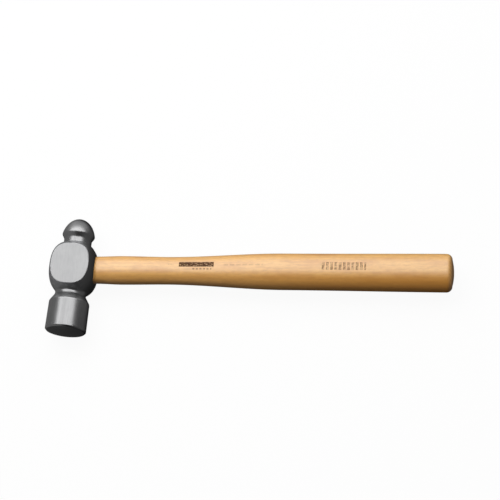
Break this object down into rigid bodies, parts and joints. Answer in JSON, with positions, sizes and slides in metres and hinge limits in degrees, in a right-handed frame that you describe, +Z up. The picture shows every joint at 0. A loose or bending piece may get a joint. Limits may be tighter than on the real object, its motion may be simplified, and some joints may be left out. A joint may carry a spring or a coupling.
{
  "type": "ball peen hammer",
  "caption": "Ball peen hammer: round striking face and ball on a forged steel head, wedged on an oval wooden handle that thickens towards the butt.",
  "frame": {"origin": "centre of the lower cheek flat, straight below the centre of the eye where the axes of the head and the handle cross", "axes": "+X along the handle towards the butt, +Y along the head towards the ball, +Z up out of the upper cheek flat; the hammer lies on its lower cheek"},
  "size_m": [0.4064, 0.1208, 0.043],
  "materials": {
    "forged_steel": "forged carbon steel, ground and satin polished",
    "handle_wood": "clear varnish over pale ash or hickory",
    "wedge_wood": "bare hardwood end grain",
    "wedge_steel": "dark, as stamped"
  },
  "bodies": {
    "root": {"head": "forged_steel", "handle": "handle_wood", "wood_wedge": "wedge_wood", "steel_wedge_1": "wedge_steel", "steel_wedge_2": "wedge_steel"}
  },
  "joints": []
}
